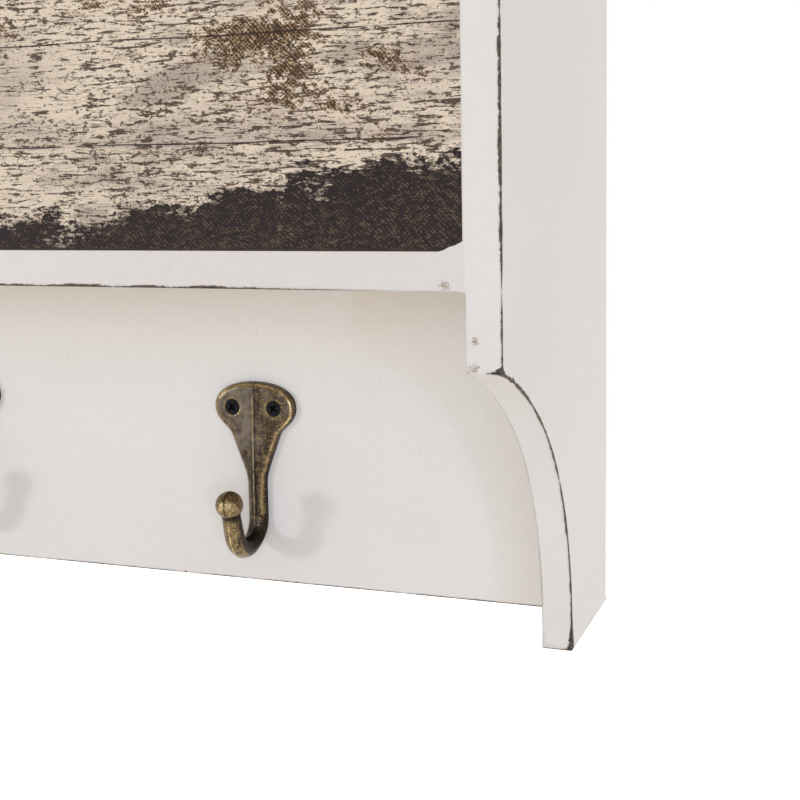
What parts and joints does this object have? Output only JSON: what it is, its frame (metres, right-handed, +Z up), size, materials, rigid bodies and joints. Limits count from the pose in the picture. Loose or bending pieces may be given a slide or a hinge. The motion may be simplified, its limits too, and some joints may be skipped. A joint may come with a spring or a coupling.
{
  "type": "wall rack with hooks",
  "caption": "White-painted wall rack with coved side boards, a boxed shelf with a printed front panel, and cast hooks screwed to the board below it.",
  "frame": {"origin": "on the wall plane, at half the rack's width and half the height of its side boards", "axes": "+X to the viewer's right, +Y into the wall, +Z up"},
  "size_m": [0.478, 0.12, 0.301],
  "materials": {
    "painted_board": "brushed warm white paint, rubbed through to brown along the arrises",
    "printed_sheet": "matt printed sheet in weathered plank colours",
    "raw_wood": "bare softwood",
    "antique_brass": "dark patina rubbed to bright brass on the raised edges",
    "black_steel": "black coating, satin",
    "zinc": "zinc plated, dull"
  },
  "bodies": {
    "root": {"side_board_left": "painted_board", "side_board_right": "painted_board", "bottom_board": "painted_board", "top_board": "painted_board", "back_board": "painted_board", "front_panel": "painted_board", "print_sheet": "printed_sheet", "panel_batten_bottom": "raw_wood", "panel_batten_top": "raw_wood", "dowels_left": "raw_wood", "dowels_right": "raw_wood", "hook_left": "antique_brass", "hook_middle": "antique_brass", "hook_right": "antique_brass", "hook_screws_left": "black_steel", "hook_screws_middle": "black_steel", "hook_screws_right": "black_steel", "hanging_plate_left": "zinc", "hanging_plate_right": "zinc", "plate_screws_left": "zinc", "plate_screws_right": "zinc"}
  },
  "joints": []
}
